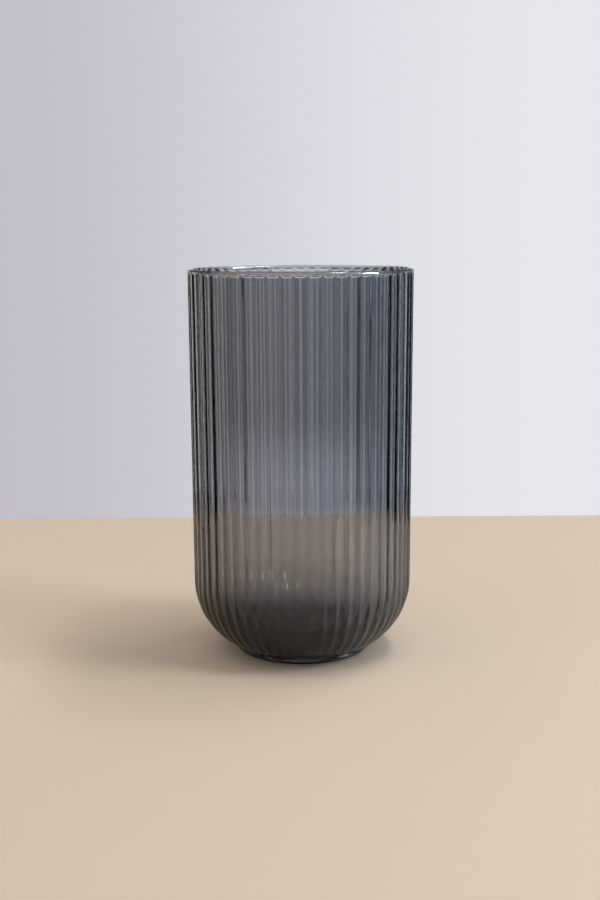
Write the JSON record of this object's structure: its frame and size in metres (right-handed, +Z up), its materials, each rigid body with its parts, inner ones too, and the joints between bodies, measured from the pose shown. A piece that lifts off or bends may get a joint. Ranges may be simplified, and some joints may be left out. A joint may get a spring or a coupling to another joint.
{
  "type": "glass cylinder vase",
  "caption": "Tall straight-sided flower vase in smoke-grey glass, with fine vertical flutes outside, a rounded heel and a thick base on a small foot ring.",
  "frame": {"origin": "centre of the foot ring's resting plane, on the vase's axis", "axes": "+Z up the vase's axis, from the foot to the open mouth; the vase is round, so +X only passes through the crest of one ridge"},
  "size_m": [0.12, 0.12, 0.207],
  "materials": {
    "smoke_glass": "gloss"
  },
  "bodies": {
    "root": {"vase": "smoke_glass"}
  },
  "joints": []
}
